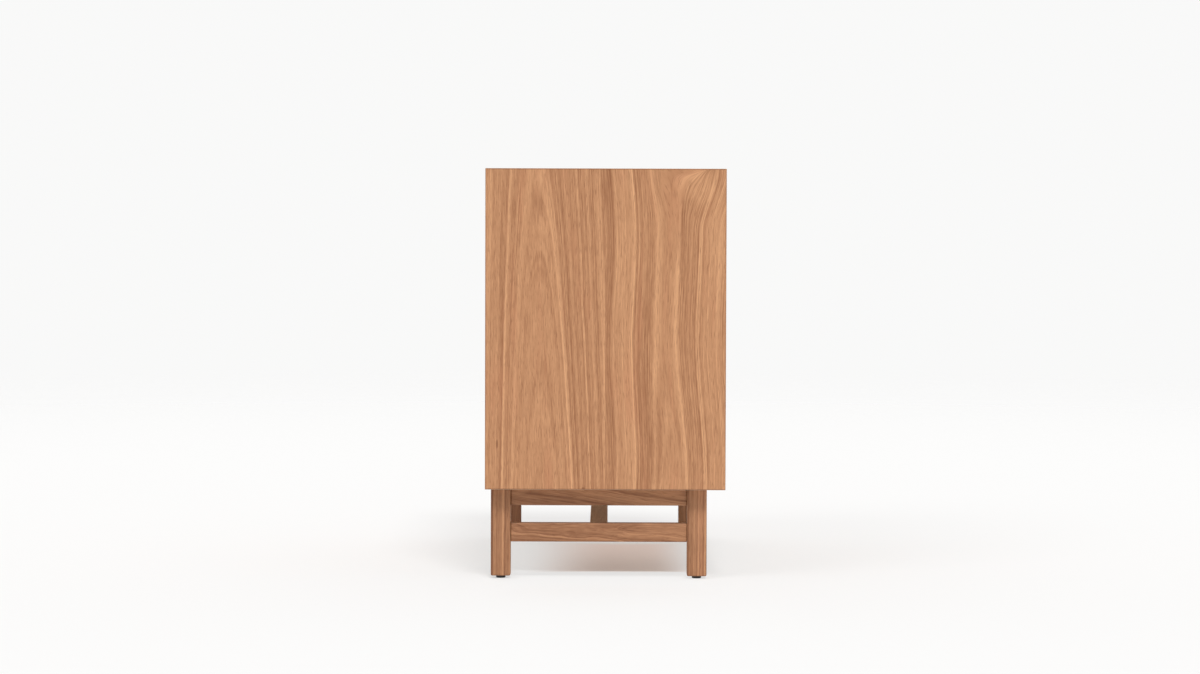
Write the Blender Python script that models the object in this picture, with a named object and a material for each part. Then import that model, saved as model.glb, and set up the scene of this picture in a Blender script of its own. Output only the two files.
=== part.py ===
"""Three-drawer dresser: a mitred case on a stretcher base, with dovetailed drawers on telescopic slides.

Metres, +Z up. The origin is on the floor under the middle of the case, and the drawers open towards -Y.
"""

import math

import bmesh
import bpy
from mathutils import Matrix, Vector

# Clearances
GAP = 0.0003  # glue line or seat between two pieces that touch
CUT_OVER = 0.004  # how far a cutter runs past the face it leaves by

# Case
CASE_WIDTH = 0.960
CASE_DEPTH = 0.480
CASE_HEIGHT = 0.6405
PANEL_THICKNESS = 0.020
ARRIS = 0.0012  # eased corner along each mitre
EDGE_EASE = 0.0007  # eased front and back edges of the panels
BACK_THICKNESS = 0.006
BACK_LAP = 0.010  # how far the back reaches into its rabbet
BACK_RECESS = 0.002  # rear face of the back, in from the rear edges

# Base
BASE_HEIGHT = 0.1815  # floor to the underside of the case
BASE_SETBACK_SIDE = 0.036
BASE_SETBACK_FRONT = 0.036
BASE_SETBACK_BACK = 0.0108
LEG_SIZE = 0.0395
LEG_ROUND = 0.0028
TOP_RAIL_HEIGHT = 0.0345
TOP_RAIL_THICKNESS = 0.020
TOP_RAIL_RECESS = 0.008  # outer face of a rail, in from the leg's outer face
STRETCHER_BOTTOM = 0.0738
STRETCHER_HEIGHT = 0.0372
STRETCHER_THICKNESS = 0.028
STRETCHER_RECESS = 0.004
LONG_STRETCHER_WIDTH = 0.0355
LONG_STRETCHER_DROP = 0.001  # its top, below the top of the side stretchers
LONG_STRETCHER_HEIGHT = 0.030
RAIL_ROUND = 0.0018
TENON_THICKNESS = 0.010
TENON_SHOULDER = 0.005
TENON_MEETING = 0.002  # room left between the two tenons that meet inside a leg

# Glides
GLIDE_HEIGHT = 0.005
GLIDE_RADIUS = 0.0095
GLIDE_ROUND = 0.0014
STEM_RADIUS = 0.003
STEM_LENGTH = 0.016

# Drawer fronts
DRAWERS = ("bottom", "middle", "top")
SIDE_REVEAL = 0.003
BOTTOM_REVEAL = 0.003
FINGER_GAP = 0.016  # open space over each front
FRONT_THICKNESS = 0.020
PULL_LIP = 0.006  # thickness left at the top edge, in front of the cove
PULL_DROP = 0.024  # how far down the back of the front the cove runs
PULL_STEPS = 8
FRONT_EASE = 0.0008

# Drawer boxes
BOX_LIFT = 0.012  # bottom edge of the box, above the bottom edge of its front
BOX_DROP = 0.041  # top edge of the box, below the top edge of its front
BOX_BACK_SPACE = 0.022  # from the box to the back of the case
SIDE_THICKNESS = 0.012
END_THICKNESS = 0.014
BOTTOM_THICKNESS = 0.006
BOTTOM_LIFT = 0.010
GROOVE_DEPTH = 0.005
DOVETAIL_PITCH = 0.043
DOVETAIL_SLOPE = 1 / 7
PIN_WIDTH = 0.012  # at the inner face of the pin board

# Drawer rails
DRAWER_RAIL_HEIGHT = 0.020
DRAWER_RAIL_DEPTH = 0.050
DRAWER_RAIL_RECESS = 0.030  # behind the drawer fronts, as room for fingers
DRAWER_RAIL_SPACE = 0.003  # under the drawer box above it

# Telescopic slides
SLIDE_SPACE = 0.0127  # from the case side to the drawer side
SLIDE_HEIGHT = 0.045
SLIDE_LIFT = 0.045  # centre line, above the bottom edge of the box
SLIDE_FRONT_SETBACK = 0.004
SLIDE_BACK_SETBACK = 0.0257
SHEET = 0.0012
SLIDE_LIP = 0.003  # turned edge of a channel, from its outer face
WEB_SPACE = 0.0005  # between the webs of two channels
CABINET_FLANGE_SETBACK = 0.0029  # end of the flange, in from the drawer side
MIDDLE_FLANGE_SETBACK = 0.0021
CAGE_INSET = 0.0012  # ball cage, in from the web and from the turned edge
SCREW_HOLE_RADIUS = 0.0024
SCREW_HOLE_INSET = 0.037  # first and last hole of a member, in from its ends
SCREW_HOLE_COUNT = 4

AXES = {"X": (1, 2, 0), "Y": (0, 2, 1)}  # the outline's two axes, then the one it is carried along


def make_material(name, colour, roughness, metallic=0.0):
    material = bpy.data.materials.new(name)
    material.use_nodes = True
    shader = material.node_tree.nodes["Principled BSDF"]
    shader.inputs["Base Color"].default_value = (*colour, 1.0)
    shader.inputs["Roughness"].default_value = roughness
    shader.inputs["Metallic"].default_value = metallic
    return material


def make_group(name, location):
    """An empty that carries the pieces of one assembly."""
    empty = bpy.data.objects.new(name, None)
    empty.location = location
    bpy.context.scene.collection.objects.link(empty)
    return empty


def add_object(name, bm, centre, material=None, group=None):
    """A mesh object with its origin at its centre, or a cutter if it has no material."""
    bmesh.ops.recalc_face_normals(bm, faces=bm.faces)
    mesh = bpy.data.meshes.new(name)
    bm.to_mesh(mesh)
    bm.free()
    obj = bpy.data.objects.new(name, mesh)
    obj.location = centre
    if group:
        obj.parent = group
        obj.location -= group.location
    if material:
        mesh.materials.append(material)
    else:
        obj.hide_render = True
        obj.display_type = "WIRE"
    bpy.context.scene.collection.objects.link(obj)
    return obj


def box(name, low, high, material=None, group=None):
    low = Vector(low)
    high = Vector(high)
    bm = bmesh.new()
    bmesh.ops.create_cube(bm, size=1.0, matrix=Matrix.Diagonal((*(high - low), 1.0)))
    return add_object(name, bm, (low + high) / 2, material, group)


def prism_into(bm, axis, outline, start, end, centre):
    """Draws the outline as a face and extrudes it along the axis."""
    first, second, along = AXES[axis]
    rim = []
    for a, b in outline:
        point = Vector((0, 0, 0))
        point[first] = a
        point[second] = b
        point[along] = start
        rim.append(bm.verts.new(point - centre))
    grown = bmesh.ops.extrude_face_region(bm, geom=[bm.faces.new(rim)])
    shift = Vector((0, 0, 0))
    shift[along] = end - start
    moved = [item for item in grown["geom"] if isinstance(item, bmesh.types.BMVert)]
    bmesh.ops.translate(bm, verts=moved, vec=shift)


def prism_centre(axis, outline, start, end):
    first, second, along = AXES[axis]
    centre = Vector((0, 0, 0))
    centre[first] = (min(p[0] for p in outline) + max(p[0] for p in outline)) / 2
    centre[second] = (min(p[1] for p in outline) + max(p[1] for p in outline)) / 2
    centre[along] = (start + end) / 2
    return centre


def prism(name, axis, outline, start, end, material=None, group=None, long_ease=0.0):
    """An outline carried along an axis. long_ease eases the longest edges of its two end faces."""
    centre = prism_centre(axis, outline, start, end)
    bm = bmesh.new()
    prism_into(bm, axis, outline, start, end, centre)
    if long_ease:
        along = AXES[axis][2]
        ends = [e for e in bm.edges if abs(e.verts[0].co[along] - e.verts[1].co[along]) < 1e-6]
        longest = max(e.calc_length() for e in ends)
        picked = [e for e in ends if e.calc_length() > longest / 2]
        bmesh.ops.bevel(bm, geom=picked, offset=long_ease, segments=2, profile=0.5, affect="EDGES")
    return add_object(name, bm, centre, material, group)


def ease(obj, width, segments=2):
    bevel = obj.modifiers.new("eased_edges", "BEVEL")
    bevel.width = width
    bevel.segments = segments
    bevel.limit_method = "ANGLE"
    bevel.angle_limit = math.radians(40)


def combine(obj, other, operation):
    boolean = obj.modifiers.new(operation.lower() + "_" + other.name, "BOOLEAN")
    boolean.operation = operation
    boolean.solver = "EXACT"
    boolean.object = other


def grown(low, high, by):
    return [a - by for a in low], [b + by for b in high]


def tenoned_rail(name, along, low, high, tenon_length, legs, material, group):
    """A rail with a stub tenon at each end, and the mortises it needs in the pieces that hold it."""
    across = 1 - along
    rail = box(name, low, high, material, group)
    ease(rail, RAIL_ROUND)
    core_low = list(low)
    core_high = list(high)
    middle = (low[across] + high[across]) / 2
    core_low[across] = middle - TENON_THICKNESS / 2
    core_high[across] = middle + TENON_THICKNESS / 2
    core_low[2] += TENON_SHOULDER
    core_high[2] -= TENON_SHOULDER
    core_low[along] -= tenon_length
    core_high[along] += tenon_length
    combine(rail, box(name + "_core", core_low, core_high, group=group), "UNION")
    mortise = box(name + "_mortise", *grown(core_low, core_high, GAP), group=group)
    for leg in legs:
        combine(leg, mortise, "DIFFERENCE")
    return rail


def build_glide(name, place, material, group):
    """A tap-in glide: a rounded pad under a stem, turned about its own axis."""
    profile = [(0.0, 0.0), (GLIDE_RADIUS - GLIDE_ROUND, 0.0)]
    for step in range(1, 4):
        turn = math.radians(90 * step / 3)
        reach = GLIDE_RADIUS - GLIDE_ROUND * (1 - math.sin(turn))
        profile.append((reach, GLIDE_ROUND * (1 - math.cos(turn))))
    profile += [(GLIDE_RADIUS, GLIDE_HEIGHT), (STEM_RADIUS, GLIDE_HEIGHT)]
    profile += [(STEM_RADIUS, GLIDE_HEIGHT + STEM_LENGTH), (0.0, GLIDE_HEIGHT + STEM_LENGTH)]
    bm = bmesh.new()
    verts = [bm.verts.new((reach, 0.0, height)) for reach, height in profile]
    edges = [bm.edges.new(pair) for pair in zip(verts, verts[1:])]
    bmesh.ops.spin(
        bm,
        geom=verts + edges,
        axis=(0, 0, 1),
        cent=(0, 0, 0),
        angle=2 * math.pi,
        steps=32,
        use_merge=True,
    )
    bmesh.ops.remove_doubles(bm, verts=bm.verts, dist=1e-5)
    glide = add_object(name, bm, Vector(place), material, group)
    glide.data.polygons.foreach_set("use_smooth", [True] * len(glide.data.polygons))
    return glide


def build_leg(name, low, high, material, group, glide_material):
    """A square leg with eased edges, bored from below for its glide."""
    leg = box(name, low, high, material, group)
    ease(leg, LEG_ROUND, 3)
    x = (low[0] + high[0]) / 2
    y = (low[1] + high[1]) / 2
    bm = bmesh.new()
    depth = STEM_LENGTH + GAP + CUT_OVER
    bmesh.ops.create_cone(
        bm,
        cap_ends=True,
        segments=32,
        radius1=STEM_RADIUS + GAP,
        radius2=STEM_RADIUS + GAP,
        depth=depth,
    )
    top = GLIDE_HEIGHT + STEM_LENGTH + GAP
    bore = add_object(name + "_bore", bm, Vector((x, y, top - depth / 2)), group=group)
    combine(leg, bore, "DIFFERENCE")
    build_glide(name.replace("leg", "glide"), (x, y, 0.0), glide_material, group)
    return leg


def build_base(wood, plastic):
    """Four legs joined by a top frame, two low side stretchers and one long stretcher between them."""
    group = make_group("base", (0, 0, 0))
    outer_x = CASE_WIDTH / 2 - BASE_SETBACK_SIDE
    inner_x = outer_x - LEG_SIZE
    outer_y = {"front": -CASE_DEPTH / 2 + BASE_SETBACK_FRONT, "back": CASE_DEPTH / 2 - BASE_SETBACK_BACK}
    inner_y = {"front": outer_y["front"] + LEG_SIZE, "back": outer_y["back"] - LEG_SIZE}
    top = BASE_HEIGHT - GAP
    foot = GLIDE_HEIGHT + GAP
    legs = {}
    for side, sign in (("left", -1), ("right", 1)):
        for end in ("front", "back"):
            xs = sorted((sign * inner_x, sign * outer_x))
            ys = sorted((inner_y[end], outer_y[end]))
            name = f"leg_{end}_{side}"
            low = (xs[0], ys[0], foot)
            high = (xs[1], ys[1], top)
            legs[end, side] = build_leg(name, low, high, wood, group, plastic)

    # Each tenon runs in until it almost meets the one that enters the leg from the other side.
    tenon = LEG_SIZE - TOP_RAIL_RECESS - TOP_RAIL_THICKNESS / 2 - TENON_THICKNESS / 2 - TENON_MEETING
    rail_bottom = top - TOP_RAIL_HEIGHT
    from_y = inner_y["front"] + GAP
    to_y = inner_y["back"] - GAP
    stretchers = []
    for side, sign in (("left", -1), ("right", 1)):
        holders = [legs["front", side], legs["back", side]]
        face = outer_x - TOP_RAIL_RECESS
        xs = sorted((sign * face, sign * (face - TOP_RAIL_THICKNESS)))
        low = (xs[0], from_y, rail_bottom)
        high = (xs[1], to_y, top)
        tenoned_rail(f"base_rail_{side}", 1, low, high, tenon, holders, wood, group)
        face = outer_x - STRETCHER_RECESS
        xs = sorted((sign * face, sign * (face - STRETCHER_THICKNESS)))
        low = (xs[0], from_y, STRETCHER_BOTTOM)
        high = (xs[1], to_y, STRETCHER_BOTTOM + STRETCHER_HEIGHT)
        name = f"stretcher_{side}"
        stretchers.append(tenoned_rail(name, 1, low, high, tenon, holders, wood, group))
    for end, sign in (("front", 1), ("back", -1)):
        holders = [legs[end, "left"], legs[end, "right"]]
        face = outer_y[end] + sign * TOP_RAIL_RECESS
        ys = sorted((face, face + sign * TOP_RAIL_THICKNESS))
        low = (-inner_x + GAP, ys[0], rail_bottom)
        high = (inner_x - GAP, ys[1], top)
        tenoned_rail(f"base_rail_{end}", 0, low, high, tenon, holders, wood, group)
    reach = outer_x - STRETCHER_RECESS - STRETCHER_THICKNESS - GAP
    middle = (outer_y["front"] + outer_y["back"]) / 2
    long_top = STRETCHER_BOTTOM + STRETCHER_HEIGHT - LONG_STRETCHER_DROP
    low = (-reach, middle - LONG_STRETCHER_WIDTH / 2, long_top - LONG_STRETCHER_HEIGHT)
    high = (reach, middle + LONG_STRETCHER_WIDTH / 2, long_top)
    stub = STRETCHER_THICKNESS / 2
    tenoned_rail("stretcher_long", 0, low, high, stub, stretchers, wood, group)


def side_outline(outer, inner):
    """Side panel in X and Z: long on its outer face, cut at 45 degrees to its inner face, corners eased."""
    sign = 1 if inner > outer else -1
    slack = GAP * math.sqrt(2)
    low = BASE_HEIGHT
    high = BASE_HEIGHT + CASE_HEIGHT
    near = (ARRIS - slack) / 2
    far = (ARRIS + slack) / 2
    return [
        (outer, low + ARRIS),
        (outer + sign * near, low + far),
        (inner, low + PANEL_THICKNESS + slack),
        (inner, high - PANEL_THICKNESS - slack),
        (outer + sign * near, high - far),
        (outer, high - ARRIS),
    ]


def flat_outline(outer, inner):
    """Top or bottom panel in X and Z, between the outer and the inner height, mitred at both ends."""
    sign = 1 if inner > outer else -1
    reach = CASE_WIDTH / 2
    half = ARRIS / 2
    right = [
        (reach - PANEL_THICKNESS, inner),
        (reach - half, outer + sign * half),
        (reach - ARRIS, outer),
    ]
    return right + [(-x, z) for x, z in reversed(right)]


def build_case(veneer):
    """Four mitred panels around a back that sits in a rabbet, with two rails between the drawers."""
    group = make_group("case", (0, 0, BASE_HEIGHT))
    half = CASE_WIDTH / 2
    low = BASE_HEIGHT
    high = BASE_HEIGHT + CASE_HEIGHT
    outlines = {
        "case_side_left": side_outline(-half, -half + PANEL_THICKNESS),
        "case_side_right": side_outline(half, half - PANEL_THICKNESS),
        "case_top": flat_outline(high, high - PANEL_THICKNESS),
        "case_bottom": flat_outline(low, low + PANEL_THICKNESS),
    }
    rear = CASE_DEPTH / 2
    reach = half - PANEL_THICKNESS + BACK_LAP
    back_low = (-reach, rear - BACK_RECESS - BACK_THICKNESS, low + PANEL_THICKNESS - BACK_LAP)
    back_high = (reach, rear - BACK_RECESS, high - PANEL_THICKNESS + BACK_LAP)
    box("case_back", back_low, back_high, veneer, group)
    cut_low, cut_high = grown(back_low, back_high, GAP)
    cut_high[1] = rear + CUT_OVER
    rabbet = box("case_back_rabbet", cut_low, cut_high, group=group)
    for name, outline in outlines.items():
        panel = prism(name, "Y", outline, -rear, rear, veneer, group, EDGE_EASE)
        combine(panel, rabbet, "DIFFERENCE")


def front_places():
    """Bottom and top height of each drawer front, from the lowest up."""
    inside = CASE_HEIGHT - 2 * PANEL_THICKNESS
    height = (inside - BOTTOM_REVEAL) / len(DRAWERS) - FINGER_GAP
    places = []
    for index in range(len(DRAWERS)):
        bottom = BASE_HEIGHT + PANEL_THICKNESS + BOTTOM_REVEAL + index * (height + FINGER_GAP)
        places.append((bottom, bottom + height))
    return places


def build_drawer_rails(veneer):
    group = bpy.data.objects["case"]
    reach = CASE_WIDTH / 2 - PANEL_THICKNESS - GAP
    front = -CASE_DEPTH / 2 + FRONT_THICKNESS + DRAWER_RAIL_RECESS
    for name, (bottom, _) in zip(("lower", "upper"), front_places()[1:]):
        top = bottom + BOX_LIFT - DRAWER_RAIL_SPACE
        low = (-reach, front, top - DRAWER_RAIL_HEIGHT)
        high = (reach, front + DRAWER_RAIL_DEPTH, top)
        rail = box(f"drawer_rail_{name}", low, high, veneer, group)
        ease(rail, FRONT_EASE)


def build_front(name, bottom, top, material, group):
    """A drawer front with a cove along the back of its top edge, as the finger pull."""
    face = -CASE_DEPTH / 2
    rear = face + FRONT_THICKNESS
    outline = [(face, bottom), (rear, bottom)]
    for step in range(PULL_STEPS + 1):
        turn = math.radians(90 * (1 - step / PULL_STEPS))
        reach = (FRONT_THICKNESS - PULL_LIP) * math.cos(turn)
        outline.append((rear - reach, top - PULL_DROP * math.sin(turn)))
    outline.append((face, top))
    reach = CASE_WIDTH / 2 - PANEL_THICKNESS - SIDE_REVEAL
    front = prism(name, "X", outline, -reach, reach, material, group)
    ease(front, FRONT_EASE)
    return front


def tail_rows(bottom, top):
    """Centre height and half width at the shoulder of each dovetail down one corner."""
    count = max(2, round((top - bottom) / DOVETAIL_PITCH))
    pitch = (top - bottom) / count
    return [(bottom + (i + 0.5) * pitch, (pitch - PIN_WIDTH) / 2) for i in range(count)]


def tailed_end(shoulder, end, rows):
    """Points along one end of a drawer side, upwards, with a tail at each row."""
    flare = abs(shoulder - end) * DOVETAIL_SLOPE
    points = []
    for centre, half in rows:
        points += [(shoulder, centre - half), (end, centre - half - flare)]
        points += [(end, centre + half + flare), (shoulder, centre + half)]
    return points


def tail_cutter(name, rows, corners, half_width, group):
    """The tails of all four corners as one cutter, a glue line larger than the tails."""
    bm = bmesh.new()
    for shoulder, end in corners:
        out = 1 if end > shoulder else -1
        start = shoulder - out * CUT_OVER
        stop = end + out * CUT_OVER
        for centre, half in rows:
            narrow = half + GAP - CUT_OVER * DOVETAIL_SLOPE
            wide = half + GAP + abs(stop - shoulder) * DOVETAIL_SLOPE
            outline = [(start, centre - narrow), (stop, centre - wide)]
            outline += [(stop, centre + wide), (start, centre + narrow)]
            for sign in (-1, 1):
                inside = sign * (half_width - SIDE_THICKNESS - GAP)
                outside = sign * (half_width + CUT_OVER)
                prism_into(bm, "X", outline, inside, outside, Vector((0, 0, 0)))
    return add_object(name, bm, Vector((0, 0, 0)), group=group)


def build_box(name, low, high, half_width, wood, ply, group):
    """A dovetailed drawer box: two tail boards, two pin boards and a bottom held in grooves."""
    front, bottom = low
    back, top = high
    rows = tail_rows(bottom, top)
    front_shoulder = front + END_THICKNESS + GAP
    back_shoulder = back - END_THICKNESS - GAP
    outline = [(front_shoulder, bottom)] + tailed_end(front_shoulder, front, rows)
    outline += [(front_shoulder, top), (back_shoulder, top)]
    outline += list(reversed(tailed_end(back_shoulder, back, rows))) + [(back_shoulder, bottom)]
    boards = []
    for side, sign in (("left", -1), ("right", 1)):
        start = sign * (half_width - SIDE_THICKNESS)
        boards.append(
            prism(f"{name}_box_{side}", "X", outline, start, sign * half_width, wood, group)
        )
    corners = ((front_shoulder, front), (back_shoulder, back))
    tails = tail_cutter(name + "_tails", rows, corners, half_width, group)
    for end, start in (("front", front), ("back", back - END_THICKNESS)):
        board_low = (-half_width, start, bottom)
        board_high = (half_width, start + END_THICKNESS, top)
        board = box(f"{name}_box_{end}", board_low, board_high, wood, group)
        combine(board, tails, "DIFFERENCE")
        boards.append(board)
    reach = half_width - SIDE_THICKNESS + GROOVE_DEPTH
    inset = END_THICKNESS - GROOVE_DEPTH
    floor_low = (-reach, front + inset, bottom + BOTTOM_LIFT)
    floor_high = (reach, back - inset, bottom + BOTTOM_LIFT + BOTTOM_THICKNESS)
    box(name + "_box_bottom", floor_low, floor_high, ply, group)
    groove = box(name + "_groove", *grown(floor_low, floor_high, GAP), group=group)
    for board in boards:
        combine(board, groove, "DIFFERENCE")


def mirrored_outline(lower):
    """A channel's outline from its lower half, which runs from its back towards its open side."""
    return lower + [(across, -height) for across, height in reversed(lower)]


def slide_outlines():
    """Cabinet, middle and drawer members across the slide's space, as heights about its centre line."""
    half = SLIDE_HEIGHT / 2
    web = GAP + SHEET
    end = SLIDE_SPACE - CABINET_FLANGE_SETBACK
    cabinet = [(GAP, -half), (end, -half), (end, -half + SLIDE_LIP), (end - SHEET, -half + SLIDE_LIP)]
    cabinet += [(end - SHEET, -half + SHEET), (web, -half + SHEET)]

    middle_half = half - SLIDE_LIP - GAP
    cage_half = half - SHEET - GAP
    start = web + WEB_SPACE
    middle_web = start + SHEET
    middle_end = SLIDE_SPACE - MIDDLE_FLANGE_SETBACK
    cage = (start + CAGE_INSET, end - SHEET - CAGE_INSET)
    middle = [(start, -middle_half), (cage[0], -middle_half), (cage[0], -cage_half)]
    middle += [(cage[1], -cage_half), (cage[1], -middle_half), (middle_end, -middle_half)]
    middle += [(middle_end, -middle_half + SLIDE_LIP), (middle_end - SHEET, -middle_half + SLIDE_LIP)]
    middle += [(middle_end - SHEET, -middle_half + SHEET), (middle_web, -middle_half + SHEET)]

    drawer_half = middle_half - SLIDE_LIP - GAP
    cage_half = middle_half - SHEET - GAP
    rear = SLIDE_SPACE - GAP
    start = middle_web + WEB_SPACE
    cage = (start + CAGE_INSET, middle_end - SHEET - CAGE_INSET)
    drawer = [(rear, -drawer_half), (cage[1], -drawer_half), (cage[1], -cage_half)]
    drawer += [(cage[0], -cage_half), (cage[0], -drawer_half), (start, -drawer_half)]
    drawer += [(start, -drawer_half + SHEET), (rear - SHEET, -drawer_half + SHEET)]
    return {
        "cabinet": mirrored_outline(cabinet),
        "middle": mirrored_outline(middle),
        "drawer": mirrored_outline(drawer),
    }


def hole_row(name, front, back, height, across, group):
    """Cutter for a row of screw holes along a slide, between two places across it."""
    bm = bmesh.new()
    turn = Matrix.Rotation(math.radians(90), 4, "Y")
    step = (back - front - 2 * SCREW_HOLE_INSET) / (SCREW_HOLE_COUNT - 1)
    for index in range(SCREW_HOLE_COUNT):
        place = Vector((sum(across) / 2, front + SCREW_HOLE_INSET + index * step, height))
        bmesh.ops.create_cone(
            bm,
            cap_ends=True,
            segments=16,
            radius1=SCREW_HOLE_RADIUS,
            radius2=SCREW_HOLE_RADIUS,
            depth=abs(across[1] - across[0]),
            matrix=Matrix.Translation(place) @ turn,
        )
    return add_object(name, bm, Vector((0, 0, 0)), group=group)


def build_slides(name, front, back, height, steel, groups):
    """A pair of three-member slides. The outer two members are screwed on through holes in their webs."""
    webs = {"cabinet": (GAP, GAP + SHEET), "drawer": (SLIDE_SPACE - GAP - SHEET, SLIDE_SPACE - GAP)}
    for side, sign in (("left", 1), ("right", -1)):
        wall = -sign * (CASE_WIDTH / 2 - PANEL_THICKNESS)
        for member, shape in slide_outlines().items():
            label = f"{name}_slide_{side}_{member}"
            outline = [(wall + sign * across, height + up) for across, up in shape]
            channel = prism(label, "Y", outline, front, back, steel, groups[member])
            if member in webs:
                start, end = webs[member]
                reach = (wall + sign * (start - CUT_OVER), wall + sign * (end + CUT_OVER))
                holes = hole_row(label + "_holes", front, back, height, reach, groups[member])
                combine(channel, holes, "DIFFERENCE")


def build_drawers(veneer, wood, ply, steel):
    """Each drawer hangs from an empty at the middle of its front, on the line it slides along."""
    half_width = CASE_WIDTH / 2 - PANEL_THICKNESS - SLIDE_SPACE
    box_front = -CASE_DEPTH / 2 + FRONT_THICKNESS + GAP
    box_back = CASE_DEPTH / 2 - BACK_RECESS - BACK_THICKNESS - BOX_BACK_SPACE
    slide_front = box_front + SLIDE_FRONT_SETBACK
    slide_back = box_back - SLIDE_BACK_SETBACK
    for name, (bottom, top) in zip(DRAWERS, front_places()):
        label = "drawer_" + name
        line = bottom + BOX_LIFT + SLIDE_LIFT
        group = make_group(label, (0, -CASE_DEPTH / 2, line))
        carriage = make_group(label + "_carriage", (0, slide_front, line))
        build_front(label + "_front", bottom, top, veneer, group)
        low = (box_front, bottom + BOX_LIFT)
        high = (box_back, top - BOX_DROP)
        build_box(label, low, high, half_width, wood, ply, group)
        groups = {"cabinet": bpy.data.objects["case"], "middle": carriage, "drawer": group}
        build_slides(label, slide_front, slide_back, line, steel, groups)


def main():
    for obj in list(bpy.data.objects):
        bpy.data.objects.remove(obj, do_unlink=True)
    veneer = make_material("walnut_veneer", (0.535, 0.267, 0.141), 0.48)
    walnut = make_material("walnut_solid", (0.400, 0.190, 0.098), 0.50)
    maple = make_material("maple", (0.700, 0.535, 0.350), 0.45)
    ply = make_material("plywood", (0.600, 0.440, 0.280), 0.55)
    steel = make_material("zinc_steel", (0.620, 0.630, 0.640), 0.35, 1.0)
    plastic = make_material("black_plastic", (0.012, 0.011, 0.011), 0.45)
    build_base(walnut, plastic)
    build_case(veneer)
    build_drawer_rails(veneer)
    build_drawers(veneer, maple, ply, steel)


main()
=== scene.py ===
import math

import bpy
import numpy as np
from mathutils import Matrix, Vector


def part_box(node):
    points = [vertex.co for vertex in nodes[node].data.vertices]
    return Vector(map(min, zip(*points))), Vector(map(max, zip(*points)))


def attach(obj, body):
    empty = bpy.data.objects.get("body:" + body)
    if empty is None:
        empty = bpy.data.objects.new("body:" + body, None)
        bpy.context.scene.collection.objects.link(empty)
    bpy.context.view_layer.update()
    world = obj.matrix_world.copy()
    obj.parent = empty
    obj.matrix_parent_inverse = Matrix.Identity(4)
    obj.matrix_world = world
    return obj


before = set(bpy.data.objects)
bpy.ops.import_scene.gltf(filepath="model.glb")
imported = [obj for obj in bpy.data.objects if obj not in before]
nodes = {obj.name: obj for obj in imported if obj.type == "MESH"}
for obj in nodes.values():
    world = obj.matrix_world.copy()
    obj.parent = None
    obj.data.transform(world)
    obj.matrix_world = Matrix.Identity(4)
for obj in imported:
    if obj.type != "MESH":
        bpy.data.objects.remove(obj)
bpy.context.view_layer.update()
print("frame loaded:", len(nodes), "nodes")


# Node helpers

def addNode(tree, kind, **settings):
    node = tree.nodes.new(kind)
    for name, value in settings.items():
        setattr(node, name, value)
    return node


def feed(tree, socket, value):
    # a socket takes a link from another socket, or a plain value
    if isinstance(value, bpy.types.NodeSocket):
        tree.links.new(value, socket)
    else:
        socket.default_value = value


def fill(tree, node, values):
    # values by name or number of the socket
    for key, value in values.items():
        feed(tree, node.inputs[key], value)
    return node


def calc(tree, operation, *terms, clamp=False):
    node = addNode(tree, "ShaderNodeMath", operation=operation, use_clamp=clamp)
    return fill(tree, node, dict(enumerate(terms))).outputs[0]


def times(tree, first, second):
    return calc(tree, "MULTIPLY", first, second)


def timesAdd(tree, first, second, added, clamp=False):
    return calc(tree, "MULTIPLY_ADD", first, second, added, clamp=clamp)


def minus(tree, first, second):
    return calc(tree, "SUBTRACT", first, second)


def larger(tree, first, second):
    return calc(tree, "MAXIMUM", first, second)


def smooth(tree, value, low, high):
    # 0 below low, 1 above high, an S curve between
    node = addNode(tree, "ShaderNodeMapRange", interpolation_type="SMOOTHSTEP")
    return fill(tree, node, {"Value": value, "From Min": low, "From Max": high}).outputs["Result"]


def fadeOut(tree, value, low, high):
    # 1 below low, 0 above high
    return minus(tree, 1.0, smooth(tree, value, low, high))


mixSockets = {"FLOAT": (2, 3, 0), "VECTOR": (4, 5, 1), "RGBA": (6, 7, 2)}


def blend(tree, factor, first, second, kind="RGBA", mode="MIX"):
    # mix of two colours, numbers or vectors
    one, other, result = mixSockets[kind]
    node = addNode(tree, "ShaderNodeMix", data_type=kind, blend_type=mode)
    return fill(tree, node, {0: factor, one: first, other: second}).outputs[result]


def mixShaders(tree, factor, first, second):
    return fill(tree, addNode(tree, "ShaderNodeMixShader"), {0: factor, 1: first, 2: second}).outputs[0]


def vectorCalc(tree, operation, *terms, output=0):
    node = addNode(tree, "ShaderNodeVectorMath", operation=operation)
    return fill(tree, node, dict(enumerate(terms))).outputs[output]


def pickAxes(tree, vector):
    return fill(tree, addNode(tree, "ShaderNodeSeparateXYZ"), {0: vector}).outputs


def joinAxes(tree, x, y, z):
    return fill(tree, addNode(tree, "ShaderNodeCombineXYZ"), {0: x, 1: y, 2: z}).outputs[0]


def stretch(tree, vector, across, along, shift=0.0):
    # point scaled by one factor across the grain and another along it
    x, y, z = pickAxes(tree, vector)
    return joinAxes(tree, times(tree, x, across), times(tree, y, across), timesAdd(tree, z, along, shift))


def noiseNode(tree, dimensions, socket, place, scale, detail, roughness):
    node = addNode(tree, "ShaderNodeTexNoise", noise_dimensions=dimensions)
    return fill(tree, node, {socket: place, "Scale": scale, "Detail": detail, "Roughness": roughness})


def noise(tree, vector, scale=1.0, detail=2.0, roughness=0.5, output="Fac"):
    return noiseNode(tree, "3D", "Vector", vector, scale, detail, roughness).outputs[output]


def lineNoise(tree, along, scale, detail=2.0, roughness=0.5):
    # noise of one number, about 0, the same all along a growth ring
    node = noiseNode(tree, "1D", "W", along, scale, detail, roughness)
    return minus(tree, node.outputs["Fac"], 0.5)


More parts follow.
